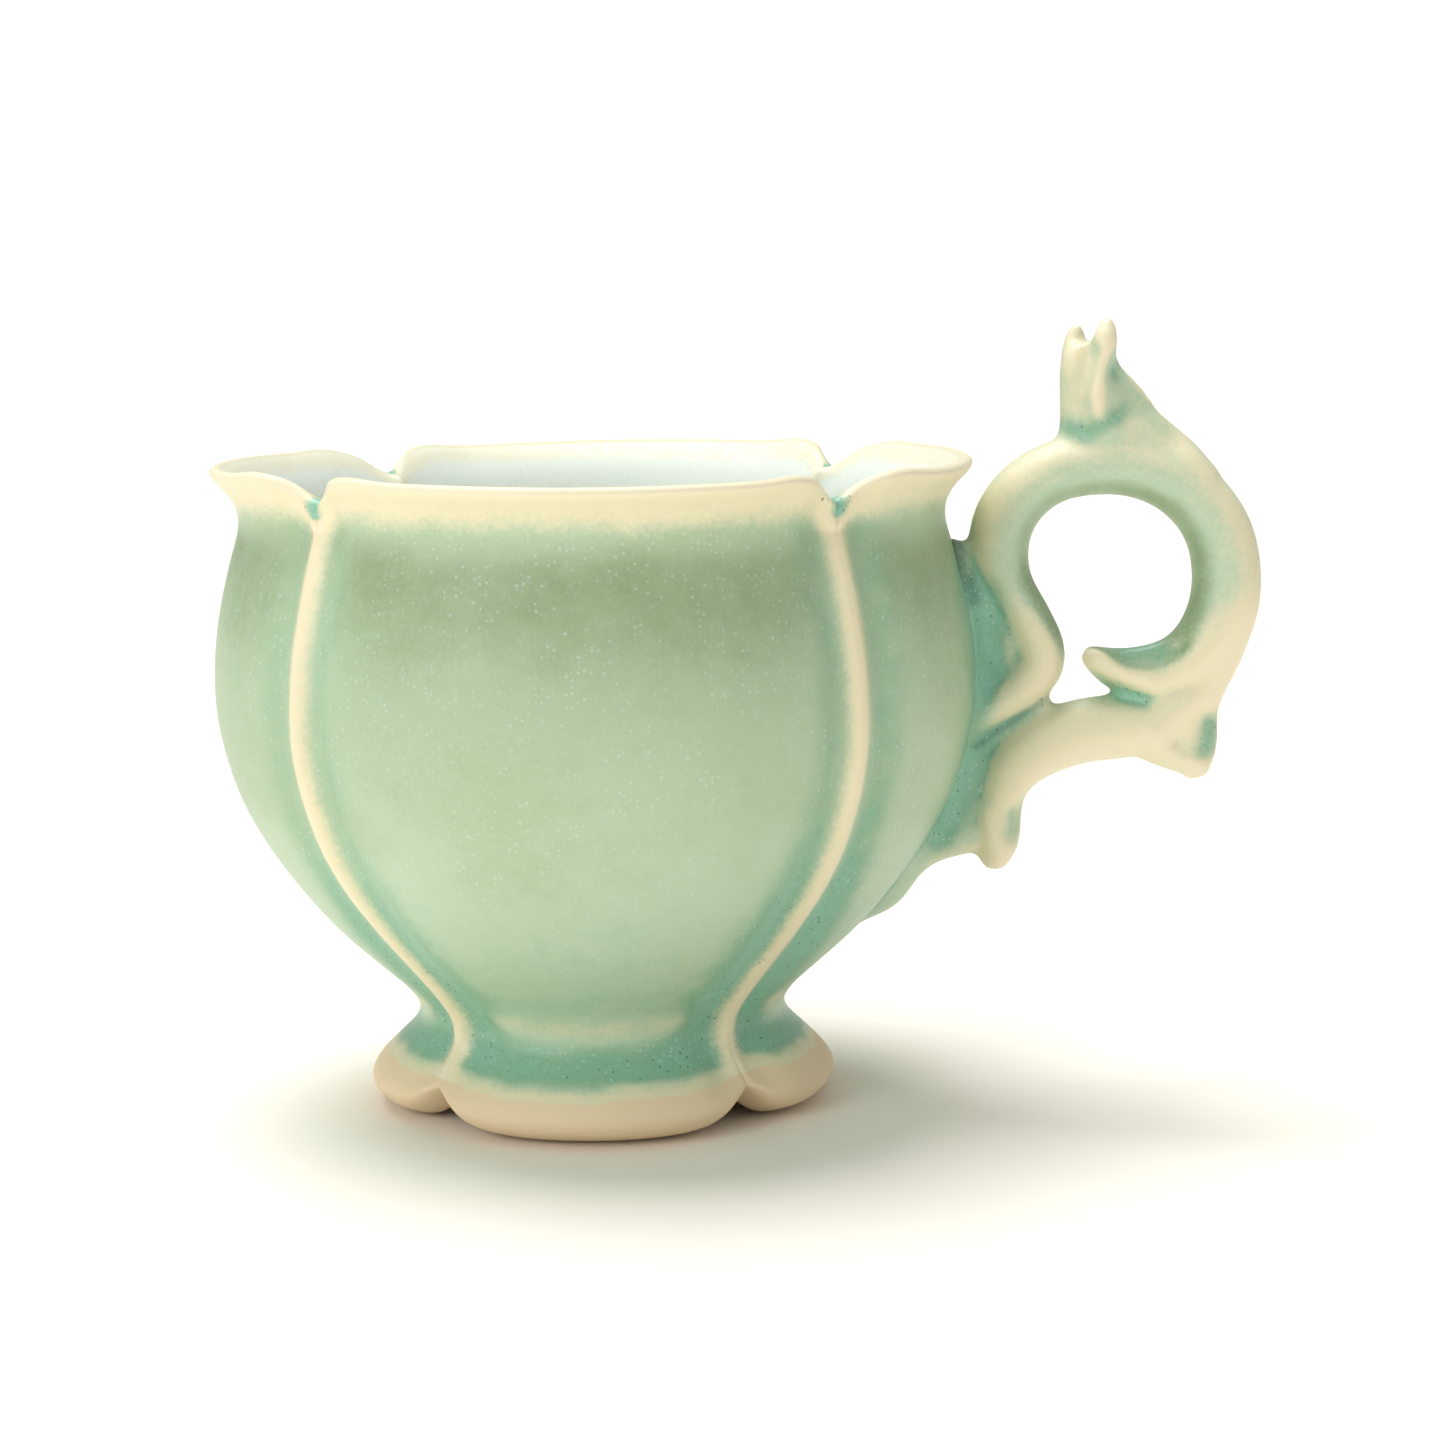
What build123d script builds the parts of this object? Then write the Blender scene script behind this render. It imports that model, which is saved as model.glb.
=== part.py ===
from build123d import *
from math import atan, atan2, ceil, cos, degrees, radians, sin
import os

os.makedirs("parts", exist_ok=True)

# A lobed porcelain teacup with a scrolled, leafy handle, in millimetres.
# The origin is on the cup's axis at the plane that the foot stands on, +Z up, the handle along +X.
# The clay pieces are luted together, so neighbours meet face to face with no gap.

# Body: heights above the table, and outer radii at the middle of a lobe
rim_height = 80.8
rim_radius = 47.3
waist_drop = 6.4
lip_drop = 3.0
lip_reach = 2.3
waist_radius = 43.7
belly_height = 54.0
belly_radius = 47.6
neck_height = 11.6
neck_radius = 23.3
foot_height = 2.4
foot_radius = 29.4
foot_edge = 1.4

# Body: how far a seam between two lobes lies inside the lobes, at each of those heights
rim_seam_inset = 5.2
waist_seam_inset = 1.0
belly_seam_inset = 1.0
neck_seam_inset = -0.7
foot_seam_inset = 2.6

# Body: clay
wall = 3.0
lip_wall = 2.0
foot_hole_radius = 21.0
floor_height = 12.4
floor_thickness = 4.2
floor_cove = 1.6
bead_height = 1.0
bead_half_width = 2.2
notch_depth = 2.0
notch_half_width = 5.0
arch_height = 3.4
arch_half_width = 4.6
steepest_lean = 1.4
station_spacing = 7.0

# Handle: the ring round the finger hole, and the scroll that carries it
handle_width = 9.0
scroll_width = 8.0
ring_tuck = 1.15
ring_drop = 14.4
finger_hole_width = 20.3
finger_hole_height = 18.4
ring_thickness = 7.6
ring_heel_thickness = 8.8
ring_end_thickness = 7.0
scroll_thickness = 5.6
scroll_root_drop = 7.0
ring_turn = (174, 144, 114, 84, 52)
ring_heel_turn = (18, -16, -50)
ring_end_turn = -80
elbow_reach = 8.8
elbow_drop = 12.6
elbow_lean = 62
neck_steps = [(1.1, 4.0, 114, 0.0), (3.6, 8.4, 117, 0.8)]
scroll_middle_out = 0.46
scroll_middle_up = 0.36
scroll_root_flare = 1.0
scroll_end_pinch = 0.4
wall_bite = 1.6

# Handle: the arm below, the leaves and the web against the wall
arm_thickness = 8.4
arm_root_drop = 17.0
arm_sag = 18.8
arm_bend_out = 0.36
arm_bend_up = 0.46
arm_rise_out = 0.68
arm_rise_up = 0.88
arm_end_out = 9.4
arm_end_up = 1.2
arm_end_lean = 30
arm_end_width = 0.7
saddle_width = 6.0
saddle_drop = 10.0
leaf_width = 7.6
leaf_tip = 2.2
thumb_leaf_height = 16.1
thumb_leaf_channel = 1.8
thumb_channel_back = 7.4
thumb_channel_foot = 0.4
thumb_channel_lean = 0.42
heel_leaf_length = 13.0
inner_leaf_length = 7.4
drop_leaf_length = 11.0
drop_leaf_lean = 0.6
tail_rise = 5.0
tail_width = 7.0
tail_length = 15.0
tail_drop = 1.0

# Leaves and tail: each row is a section, as its place along the leaf, then its size
thumb_leaf_rows = [
    (0.0, 2.4, 17.0, 0.0),
    (0.26, 0.2, 14.6, 0.0),
    (0.5, -1.6, 10.4, 0.6),
    (0.76, -2.6, 6.8, 1.6),
]
thumb_leaf_end = (-2.3, 3.4, 3.0)
heel_leaf_rows = [(12.6, 5.0, 6.0, 1.0), (12.4, 0.0, 6.8, 0.0)]
heel_leaf_turn = -106
heel_leaf_out = 10.8
heel_middle = (-100, 6.4, 1.0)
heel_end_turn = -84
inner_leaf_up = 1.6
inner_leaf_rows = [(3.4, -1.6, 182, 1.4, 1.4), (-0.4, -0.8, 176, 1.8, 2.4)]
inner_leaf_foot = 2.4
inner_leaf_turn = 160
drop_leaf_rows = [(0.0, 6.0), (0.5, 5.6)]
drop_leaf_slim = 1.4
drop_leaf_in = 0.2
tail_rows = [(0.0, 1.0), (0.35, 0.85), (0.55, 0.5), (0.8, 0.42), (1.0, 0.0)]
saddle_middle_up = 6.0
saddle_shoulder = 1.0

seam_angle = 45.0


def between(start, end, share):
    """The value a share of the way from start to end."""
    return start + (end - start) * share


# Outer profile through the middle of a lobe, as (height, radius) from foot to rim
waist_height = rim_height - waist_drop


def flank(share_up, share_out):
    """A point on the bowl's flank between the neck and the belly."""
    return between(neck_height, belly_height, share_up), between(neck_radius, belly_radius, share_out)


profile = [
    (0.0, foot_radius - foot_edge),
    (foot_height, foot_radius),
    (between(foot_height, neck_height, 0.52), between(neck_radius, foot_radius, 0.49)),
    (neck_height, neck_radius),
    flank(0.14, 0.17),
    flank(0.32, 0.49),
    flank(0.55, 0.77),
    flank(0.80, 0.95),
    (belly_height, belly_radius),
    (between(belly_height, waist_height, 0.62), between(belly_radius, waist_radius, 0.44)),
    (waist_height, waist_radius),
    (rim_height - lip_drop, rim_radius - lip_reach),
    (rim_height, rim_radius),
]

seam_insets = [
    (0.0, foot_seam_inset),
    (foot_height, foot_seam_inset),
    (neck_height, neck_seam_inset),
    (belly_height, belly_seam_inset),
    (waist_height, waist_seam_inset),
    (rim_height - lip_drop, between(waist_seam_inset, rim_seam_inset, 0.55)),
    (rim_height, rim_seam_inset),
]


def smooth_at(points, height):
    """The value at a height of a smooth curve through points given as (height, value)."""
    rises = [(b[1] - a[1]) / (b[0] - a[0]) for a, b in zip(points, points[1:])]
    slopes = [rises[0]]
    for before, after in zip(rises, rises[1:]):
        slopes.append((before + after) / 2 if before * after > 0 else 0.0)
    slopes.append(rises[-1])
    index = sum(1 for point in points[1:-1] if point[0] <= height)
    (low, start), (high, end) = points[index], points[index + 1]
    span = high - low
    share = (height - low) / span
    eased = start + (end - start) * share**2 * (3 - 2 * share)
    leaving = slopes[index] * span * share * (1 - share) ** 2
    arriving = slopes[index + 1] * span * share**2 * (1 - share)
    return eased + leaving - arriving


def lean_at(height):
    """How far the wall leans out for each millimetre that it rises, at a height."""
    return (smooth_at(profile, height + 0.1) - smooth_at(profile, height - 0.1)) / 0.2


def clay_at(height):
    """The wall's level thickness at a height, more than its own thickness where it leans."""
    share = min(max((height - waist_height) / waist_drop, 0), 1)
    return between(wall, lip_wall, share) * min((1 + lean_at(height) ** 2) ** 0.5, steepest_lean)


def polar(radius, angle):
    """A point at a radius, at an angle from +X in degrees."""
    return radius * cos(radians(angle)), radius * sin(radians(angle))


def lobe_outline(lobe_radius, seam_radius, inner_radius):
    """One lobe's level section: its bulge, half of the raised bead on each of its seams, and its inside."""
    bead_angle = degrees(bead_half_width / seam_radius)
    valley_radius = seam_radius - bead_height
    shoulder_radius = seam_radius - bead_height * 0.3
    inner_seam_radius = valley_radius - (lobe_radius - inner_radius)
    for side in (-1, 1):
        crest = polar(seam_radius, side * seam_angle)
        shoulder = polar(shoulder_radius, side * (seam_angle - bead_angle * 0.55))
        valley = polar(valley_radius, side * (seam_angle - bead_angle))
        ThreePointArc(crest, shoulder, valley)
        Line(crest, polar(inner_seam_radius, side * seam_angle))
    left, right = (polar(valley_radius, side * (seam_angle - bead_angle)) for side in (-1, 1))
    ThreePointArc(left, (lobe_radius, 0), right)
    left, right = (polar(inner_seam_radius, side * seam_angle) for side in (-1, 1))
    ThreePointArc(left, (inner_radius, 0), right)


# One lobe of the body, its middle on +X
heights = [0.0]
for low, high in zip(profile, profile[1:]):
    count = ceil((high[0] - low[0]) / station_spacing)
    heights += [between(low[0], high[0], (step + 1) / count) for step in range(count)]
with BuildPart() as lobe:
    for height in heights:
        lobe_radius = smooth_at(profile, height)
        inner_radius = lobe_radius - clay_at(height)
        if height <= neck_height:
            inner_radius = min(inner_radius, foot_hole_radius)
        with BuildSketch(Plane.XY.offset(height)):
            with BuildLine():
                lobe_outline(lobe_radius, lobe_radius - smooth_at(seam_insets, height), inner_radius)
            make_face()
    loft()
    for side in (-1, 1):
        outward = Vector(1, 0).rotate(Axis.Z, side * seam_angle)
        seam = Plane((0, 0, 0), x_dir=outward.rotate(Axis.Z, 90), z_dir=outward)
        with BuildSketch(seam):
            with BuildLine():
                low = (0, rim_height - notch_depth)
                left = (-notch_half_width, rim_height)
                right = (notch_half_width, rim_height)
                clear = rim_height + lip_wall
                Spline(left, low, tangents=((1, 0), (0.4, -1)))
                Spline(low, right, tangents=((0.4, 1), (1, 0)))
                Polyline(right, (notch_half_width, clear), (-notch_half_width, clear), left)
            make_face()
        extrude(amount=rim_radius * 1.5, mode=Mode.SUBTRACT)
        with BuildSketch(seam):
            Ellipse(arch_half_width, arch_height)
        extrude(amount=foot_radius * 1.5, mode=Mode.SUBTRACT)

walls = []
for name, turn in (("wall_right", 0), ("wall_back", 90), ("wall_left", 180), ("wall_front", 270)):
    with BuildPart() as panel:
        add(lobe.part.rotate(Axis.Z, turn))
    panel.part.label = name
    export_step(panel.part, f"parts/{name}.step")
    walls.append(panel.part)
wall_right = walls[0]

# Floor: a disc let into the neck, with a cove up to the wall, trimmed to the walls' inner faces
floor_radius = neck_radius - wall / 2
floor_underside = floor_height - floor_thickness
with BuildPart() as floor:
    with BuildSketch(Plane.XZ):
        with BuildLine():
            centre_top = (0, floor_height)
            edge_top = (floor_radius, floor_height + floor_cove)
            Spline(centre_top, edge_top, tangents=((1, 0), (1, 0.4)))
            Polyline(edge_top, (floor_radius, floor_underside), (0, floor_underside), centre_top)
        make_face()
    revolve(axis=Axis.Z)
    for panel_part in walls:
        add(panel_part, mode=Mode.SUBTRACT)
floor.part.label = "floor"
export_step(floor.part, "parts/floor.step")


# Handle, in the plane of X and Z, symmetrical about it
def oval(x, z, heading, thickness, width):
    """An oval across a clay strand: its place, the way that the strand heads there, and its size."""
    ahead = Vector(cos(radians(heading)), 0, sin(radians(heading)))
    with BuildSketch(Plane((x, 0, z), x_dir=(0, 1, 0), z_dir=ahead)) as section:
        Ellipse(width / 2, thickness / 2)
    return section.sketch


def strand(start, stations, end):
    """Ovals along a strand, given as (x, z, thickness, width), each square to the way past its neighbours.

    The ovals at the start and the end are made already, and the strand aims at their middles.
    """
    places = [start[0]] + [(x, z) for x, z, _, _ in stations] + [end[0]]
    sections = [start[1]]
    for before, station, after in zip(places, stations, places[2:]):
        heading = degrees(atan2(after[1] - before[1], after[0] - before[0]))
        sections.append(oval(station[0], station[1], heading, station[2], station[3]))
    return sections + [end[1]]


ring_x = max(belly_radius, rim_radius) - ring_tuck + ring_thickness + finger_hole_width / 2
ring_z = rim_height - ring_drop
ring_top = ring_z + (finger_hole_height + ring_thickness) / 2
ring_bottom = ring_z - (finger_hole_height + ring_thickness) / 2


def ring_oval(angle, thickness):
    """An oval of the ring round the finger hole, at an angle from +X, for a strand running clockwise."""
    across = (finger_hole_width + thickness) / 2
    up = (finger_hole_height + thickness) / 2
    turn = radians(angle)
    heading = degrees(atan2(-up * cos(turn), across * sin(turn)))
    return oval(ring_x + across * cos(turn), ring_z + up * sin(turn), heading, thickness, handle_width)


# The ring starts at the scroll's elbow, leans back towards the cup and winds round the finger hole
elbow_x = ring_x - elbow_reach
elbow_z = ring_z - elbow_drop
ring_sections = [
    oval(elbow_x, elbow_z, 90, scroll_thickness, scroll_width),
]
for back, up, heading, swell in neck_steps:
    ring_sections.append(oval(elbow_x - back, elbow_z + up, heading, scroll_thickness + swell, scroll_width))
ring_sections += [ring_oval(angle, ring_thickness) for angle in ring_turn]
ring_sections += [ring_oval(angle, ring_heel_thickness) for angle in ring_heel_turn]
ring_sections += [ring_oval(ring_end_turn, ring_end_thickness)]
with BuildPart() as ring:
    loft(ring_sections)
ring.part.label = "handle_ring"
export_step(ring.part, "parts/handle_ring.step")


def root(z, thickness, width):
    """A strand's root at a height on the wall: its middle, and an oval laid along the wall and sunk in it."""
    x = smooth_at(profile, z)
    return (x, z), oval(x - wall_bite, z, -degrees(atan(lean_at(z))), thickness, width)


# The scroll: a short strand from the wall up into the elbow
scroll_root_z = belly_height - scroll_root_drop
scroll_root_x = smooth_at(profile, scroll_root_z)
scroll_middle_x = between(scroll_root_x, elbow_x, scroll_middle_out)
scroll_middle_z = between(scroll_root_z, elbow_z, scroll_middle_up)
scroll_end = oval(elbow_x, elbow_z + 0.6, elbow_lean, scroll_thickness - scroll_end_pinch, scroll_width - 0.6)
scroll_sections = strand(
    root(scroll_root_z, scroll_thickness + scroll_root_flare, scroll_width),
    [(scroll_middle_x, scroll_middle_z, scroll_thickness, scroll_width)],
    ((elbow_x, elbow_z), scroll_end),
)
with BuildPart() as scroll:
    loft(scroll_sections)
    add(wall_right, mode=Mode.SUBTRACT)
    add(ring.part, mode=Mode.SUBTRACT)
scroll.part.label = "handle_scroll"
export_step(scroll.part, "parts/handle_scroll.step")

# The arm: from the wall below the scroll out to the underside of the ring
arm_root_z = belly_height - arm_root_drop
arm_root_x = smooth_at(profile, arm_root_z)
arm_z = ring_z - arm_sag
arm_bend_x = between(arm_root_x, ring_x, arm_bend_out)
arm_bend_z = between(arm_root_z, arm_z, arm_bend_up)
arm_rise_x = between(arm_root_x, ring_x, arm_rise_out)
arm_rise_z = between(arm_root_z, arm_z, arm_rise_up)
arm_end_x = ring_x + arm_end_out
arm_end_z = ring_bottom + arm_end_up
arm_end = oval(arm_end_x, arm_end_z, arm_end_lean, arm_thickness / 2, handle_width * arm_end_width)
arm_sections = strand(
    root(arm_root_z, arm_thickness, scroll_width),
    [
        (arm_bend_x, arm_bend_z, arm_thickness, scroll_width),
        (arm_rise_x, arm_rise_z, arm_thickness, scroll_width),
        (ring_x, arm_z, arm_thickness, handle_width),
    ],
    ((arm_end_x, arm_end_z), arm_end),
)
with BuildPart() as arm:
    loft(arm_sections)
    for neighbour in (wall_right, ring.part, scroll.part):
        add(neighbour, mode=Mode.SUBTRACT)
arm.part.label = "handle_arm"
export_step(arm.part, "parts/handle_arm.step")

# Thumb leaf: stands on the ring, its tip split into two horns by a channel that faces the cup
thumb_top = rim_height + thumb_leaf_height
thumb_base = ring_top
thumb_sections = []
for share, out, breadth, slim in thumb_leaf_rows:
    height = between(thumb_base, thumb_top, share)
    thumb_sections.append(oval(ring_x + out, height, 90, breadth, leaf_width - slim))
out, breadth, slim = thumb_leaf_end
thumb_sections.append(oval(ring_x + out, thumb_top, 90, breadth, leaf_width - slim))
channel_foot = (ring_x - thumb_channel_back, 0, between(thumb_base, thumb_top, thumb_channel_foot))
with BuildPart() as thumb_leaf:
    loft(thumb_sections)
    with BuildSketch(Plane(channel_foot, z_dir=(thumb_channel_lean, 0, 1))):
        Circle(thumb_leaf_channel)
    extrude(amount=thumb_leaf_height, mode=Mode.SUBTRACT)
    add(ring.part, mode=Mode.SUBTRACT)
thumb_leaf.part.label = "thumb_leaf"
export_step(thumb_leaf.part, "parts/thumb_leaf.step")

# Heel leaf: the ring's outer side runs down past the arm into a hanging tip
heel_x = ring_x + heel_leaf_out
heel_tip_z = ring_bottom - heel_leaf_length
heel_sections = []
for out, up, breadth, slim in heel_leaf_rows:
    heel_sections.append(oval(ring_x + out, ring_bottom + up, heel_leaf_turn, breadth, leaf_width - slim))
turn, breadth, slim = heel_middle
heel_sections.append(oval(heel_x, (ring_bottom + heel_tip_z) / 2, turn, breadth, leaf_width - slim))
heel_sections.append(oval(heel_x, heel_tip_z, heel_end_turn, leaf_tip, leaf_tip))
with BuildPart() as heel_leaf:
    loft(heel_sections)
    add(ring.part, mode=Mode.SUBTRACT)
    add(arm.part, mode=Mode.SUBTRACT)
heel_leaf.part.label = "heel_leaf"
export_step(heel_leaf.part, "parts/heel_leaf.step")

# Inner leaf: the ring's end, pinched to a point inside the finger hole
inner_z = ring_bottom + inner_leaf_up
inner_tip_x = ring_x + inner_leaf_foot - inner_leaf_length
inner_sections = []
for out, up, heading, thinner, slim in inner_leaf_rows:
    inner_sections.append(
        oval(ring_x + out, inner_z + up, heading, ring_end_thickness - thinner, handle_width - slim)
    )
inner_sections.append(oval(inner_tip_x, inner_z, inner_leaf_turn, leaf_tip, leaf_tip))
with BuildPart() as inner_leaf:
    loft(inner_sections)
    add(ring.part, mode=Mode.SUBTRACT)
    add(arm.part, mode=Mode.SUBTRACT)
inner_leaf.part.label = "inner_leaf"
export_step(inner_leaf.part, "parts/inner_leaf.step")

# Drop leaf: hangs from the arm's bend beside the wall
drop_x = arm_bend_x - drop_leaf_in
drop_top_z = arm_bend_z - arm_thickness / 4
drop_end_z = drop_top_z - drop_leaf_length
drop_sections = []
for share, breadth in drop_leaf_rows:
    height = between(drop_top_z, drop_end_z, share)
    drop_sections.append(oval(drop_x, height, -90, breadth, leaf_width - drop_leaf_slim))
drop_sections.append(oval(drop_x - drop_leaf_lean, drop_end_z, -90, leaf_tip, leaf_tip))
with BuildPart() as drop_leaf:
    loft(drop_sections)
    for neighbour in (arm.part, scroll.part, wall_right):
        add(neighbour, mode=Mode.SUBTRACT)
drop_leaf.part.label = "drop_leaf"
export_step(drop_leaf.part, "parts/drop_leaf.step")

# Tail: a strap of clay that runs down the wall from the drop leaf and dies away
tail_top_z = arm_root_z - tail_drop
tail_end_z = tail_top_z - tail_length
tail_sections = []
for share, rise in tail_rows:
    height = between(tail_top_z, tail_end_z, share)
    down = Vector(-lean_at(height), 0, -1).normalized()
    outward = Vector(1, 0, -lean_at(height)).normalized()
    half = (tail_rise * rise + wall_bite) / 2
    centre = Vector(smooth_at(profile, height), 0, height) + outward * (half - wall_bite)
    with BuildSketch(Plane(centre, x_dir=(0, 1, 0), z_dir=down)) as section:
        Ellipse(between(tail_width, leaf_tip, share**2) / 2, half)
    tail_sections.append(section.sketch)
with BuildPart() as tail:
    loft(tail_sections)
    for neighbour in (wall_right, arm.part, drop_leaf.part):
        add(neighbour, mode=Mode.SUBTRACT)
tail.part.label = "tail"
export_step(tail.part, "parts/tail.step")

# Saddle: the web of clay that fills the crook between the wall and the scroll and ring
saddle_top_z = rim_height - saddle_drop
saddle_middle_z = belly_height + saddle_middle_up
neck_back, neck_up, _, _ = neck_steps[-1]
neck_side = (elbow_x - neck_back, elbow_z + neck_up)
scroll_middle = (scroll_middle_x, scroll_middle_z)
with BuildPart() as saddle:
    with BuildSketch(Plane.XZ):
        with BuildLine():
            top = (smooth_at(profile, saddle_top_z) - wall_bite, saddle_top_z)
            top_out = (ring_x - finger_hole_width / 2 - ring_thickness / 2, saddle_top_z - saddle_shoulder)
            foot_in = (scroll_root_x - wall_bite, scroll_root_z)
            middle = (smooth_at(profile, saddle_middle_z) - wall_bite, saddle_middle_z)
            ThreePointArc(top, middle, foot_in)
            Polyline(foot_in, scroll_middle, (elbow_x, elbow_z), neck_side, top_out, top)
        make_face()
    extrude(amount=saddle_width / 2, both=True)
    for neighbour in (wall_right, ring.part, scroll.part):
        add(neighbour, mode=Mode.SUBTRACT)
saddle.part.label = "saddle"
export_step(saddle.part, "parts/saddle.step")
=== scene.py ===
from math import cos, pi, radians, sin

import bmesh
import bpy
import numpy as np
from mathutils import Matrix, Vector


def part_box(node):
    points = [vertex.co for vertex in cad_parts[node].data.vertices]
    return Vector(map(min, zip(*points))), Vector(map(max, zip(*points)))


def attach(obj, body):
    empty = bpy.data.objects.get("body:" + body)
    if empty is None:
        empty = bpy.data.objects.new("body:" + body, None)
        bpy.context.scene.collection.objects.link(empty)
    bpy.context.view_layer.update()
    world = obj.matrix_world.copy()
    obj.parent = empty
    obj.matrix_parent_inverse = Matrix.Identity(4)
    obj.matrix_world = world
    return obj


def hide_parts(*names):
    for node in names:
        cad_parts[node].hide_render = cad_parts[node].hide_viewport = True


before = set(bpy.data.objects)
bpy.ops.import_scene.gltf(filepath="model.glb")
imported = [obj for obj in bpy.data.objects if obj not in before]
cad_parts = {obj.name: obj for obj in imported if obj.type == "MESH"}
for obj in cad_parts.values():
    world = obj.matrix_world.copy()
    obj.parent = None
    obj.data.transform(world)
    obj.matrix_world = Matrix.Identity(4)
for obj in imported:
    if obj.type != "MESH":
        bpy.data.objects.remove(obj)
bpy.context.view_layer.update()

MM = 0.001
ROOM_GLOW = 0.42
ROOM_SEEN = 1.02
scene = bpy.context.scene

# The frame's own sizes, in millimetres: the cup is drawn at its nominal size and fitted to these
rim_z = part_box("wall_right")[1].z / MM
side_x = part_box("wall_right")[1].x / MM
ring_side_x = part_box("handle_ring")[1].x / MM
NOMINAL_RIM_Z = 80.8
NOMINAL_SIDE_X = 47.6
NOMINAL_RING_SIDE_X = 83.16
fit_up = rim_z / NOMINAL_RIM_Z
fit_out = side_x / NOMINAL_SIDE_X
handle_shift = ring_side_x - NOMINAL_RING_SIDE_X


# ---------------------------------------------------------------- camera, light and floor

def place_camera():
    """A long lens a little above the rim, looking at the front with the handle on the right."""
    yaw, pitch, roll = -0.0343, 0.136, -0.0125
    ahead = np.array([sin(yaw) * cos(pitch), cos(yaw) * cos(pitch), -sin(pitch)])
    level = np.array([cos(yaw), -sin(yaw), 0.0])
    above = np.cross(level, ahead)
    right = level * cos(roll) + above * sin(roll)
    up = -level * sin(roll) + above * cos(roll)
    data = bpy.data.cameras.new("camera")
    data.lens = 83.64
    data.sensor_width = 36.0
    camera = bpy.data.objects.new("camera", data)
    camera.matrix_world = Matrix(np.column_stack([right, up, -ahead]).tolist()).to_4x4()
    camera.location = (0.02895, -0.414, 0.1053)
    scene.collection.objects.link(camera)
    scene.camera = camera


def hang_light(name, place, aim, size, watts):
    """A square white soft box at a place, turned to an aim."""
    data = bpy.data.lights.new(name, "AREA")
    data.size = size
    data.energy = watts
    lamp = bpy.data.objects.new(name, data)
    away = np.array(place) - np.array(aim)
    away = away / np.linalg.norm(away)
    across = np.cross([0.0, 1.0, 0.03], away)
    across = across / np.linalg.norm(across)
    lamp.matrix_world = Matrix(np.column_stack([across, np.cross(away, across), away]).tolist()).to_4x4()
    lamp.location = place
    scene.collection.objects.link(lamp)


def paint_room():
    """A white room, which looks brighter to the camera than it shines on the cup."""
    world = bpy.data.worlds.new("white_room")
    world.use_nodes = True
    tree = world.node_tree
    seen = tree.nodes.new("ShaderNodeLightPath")
    strength = tree.nodes.new("ShaderNodeMapRange")
    strength.inputs["To Min"].default_value = ROOM_GLOW
    strength.inputs["To Max"].default_value = ROOM_SEEN
    tree.links.new(seen.outputs["Is Camera Ray"], strength.inputs["Value"])
    tree.nodes["Background"].inputs["Color"].default_value = (1.0, 1.0, 1.0, 1.0)
    tree.links.new(strength.outputs["Result"], tree.nodes["Background"].inputs["Strength"])
    scene.world = world
    scene.view_settings.view_transform = "Standard"


def lay_floor():
    """A wide floor of pale paper."""
    bm = bmesh.new()
    bmesh.ops.create_grid(bm, x_segments=2, y_segments=2, size=3.0)
    mesh = bpy.data.meshes.new("floor")
    bm.to_mesh(mesh)
    bm.free()
    ground = bpy.data.objects.new("floor", mesh)
    scene.collection.objects.link(ground)
    mesh.materials.append(floor_paper())


def set_lights():
    """A broad soft sun overhead, and one soft box in front on the left."""
    overhead = bpy.data.lights.new("overhead", "SUN")
    overhead.energy = 2.7
    overhead.angle = radians(40)
    lamp = bpy.data.objects.new("overhead", overhead)
    lamp.rotation_euler = (radians(-11), radians(-10), 0)
    scene.collection.objects.link(lamp)
    hang_light("front_box", (-0.42, -0.60, 0.34), (0.02, 0.0, 0.05), 0.36, 1.7)


# ---------------------------------------------------------------- glazes

class Number:
    """A shader socket that adds, takes away and multiplies like a number."""

    def __init__(self, mix, socket):
        self.mix = mix
        self.socket = socket

    def calc(self, operation, first, second):
        """One step of arithmetic."""
        return self.mix.node("ShaderNodeMath", {"operation": operation}, {0: first, 1: second})

    def __add__(self, other):
        return self.calc("ADD", self, other)

    def __sub__(self, other):
        return self.calc("SUBTRACT", self, other)

    def __rsub__(self, other):
        return self.calc("SUBTRACT", other, self)

    def __mul__(self, other):
        return self.calc("MULTIPLY", self, other)

    __radd__ = __add__
    __rmul__ = __mul__

    def step(self, low, high):
        """0 below low, 1 above high, eased between them."""
        return self.mix.node("ShaderNodeMapRange", {"interpolation_type": "SMOOTHSTEP"},
                             {"Value": self, "From Min": low, "From Max": high})


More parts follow.
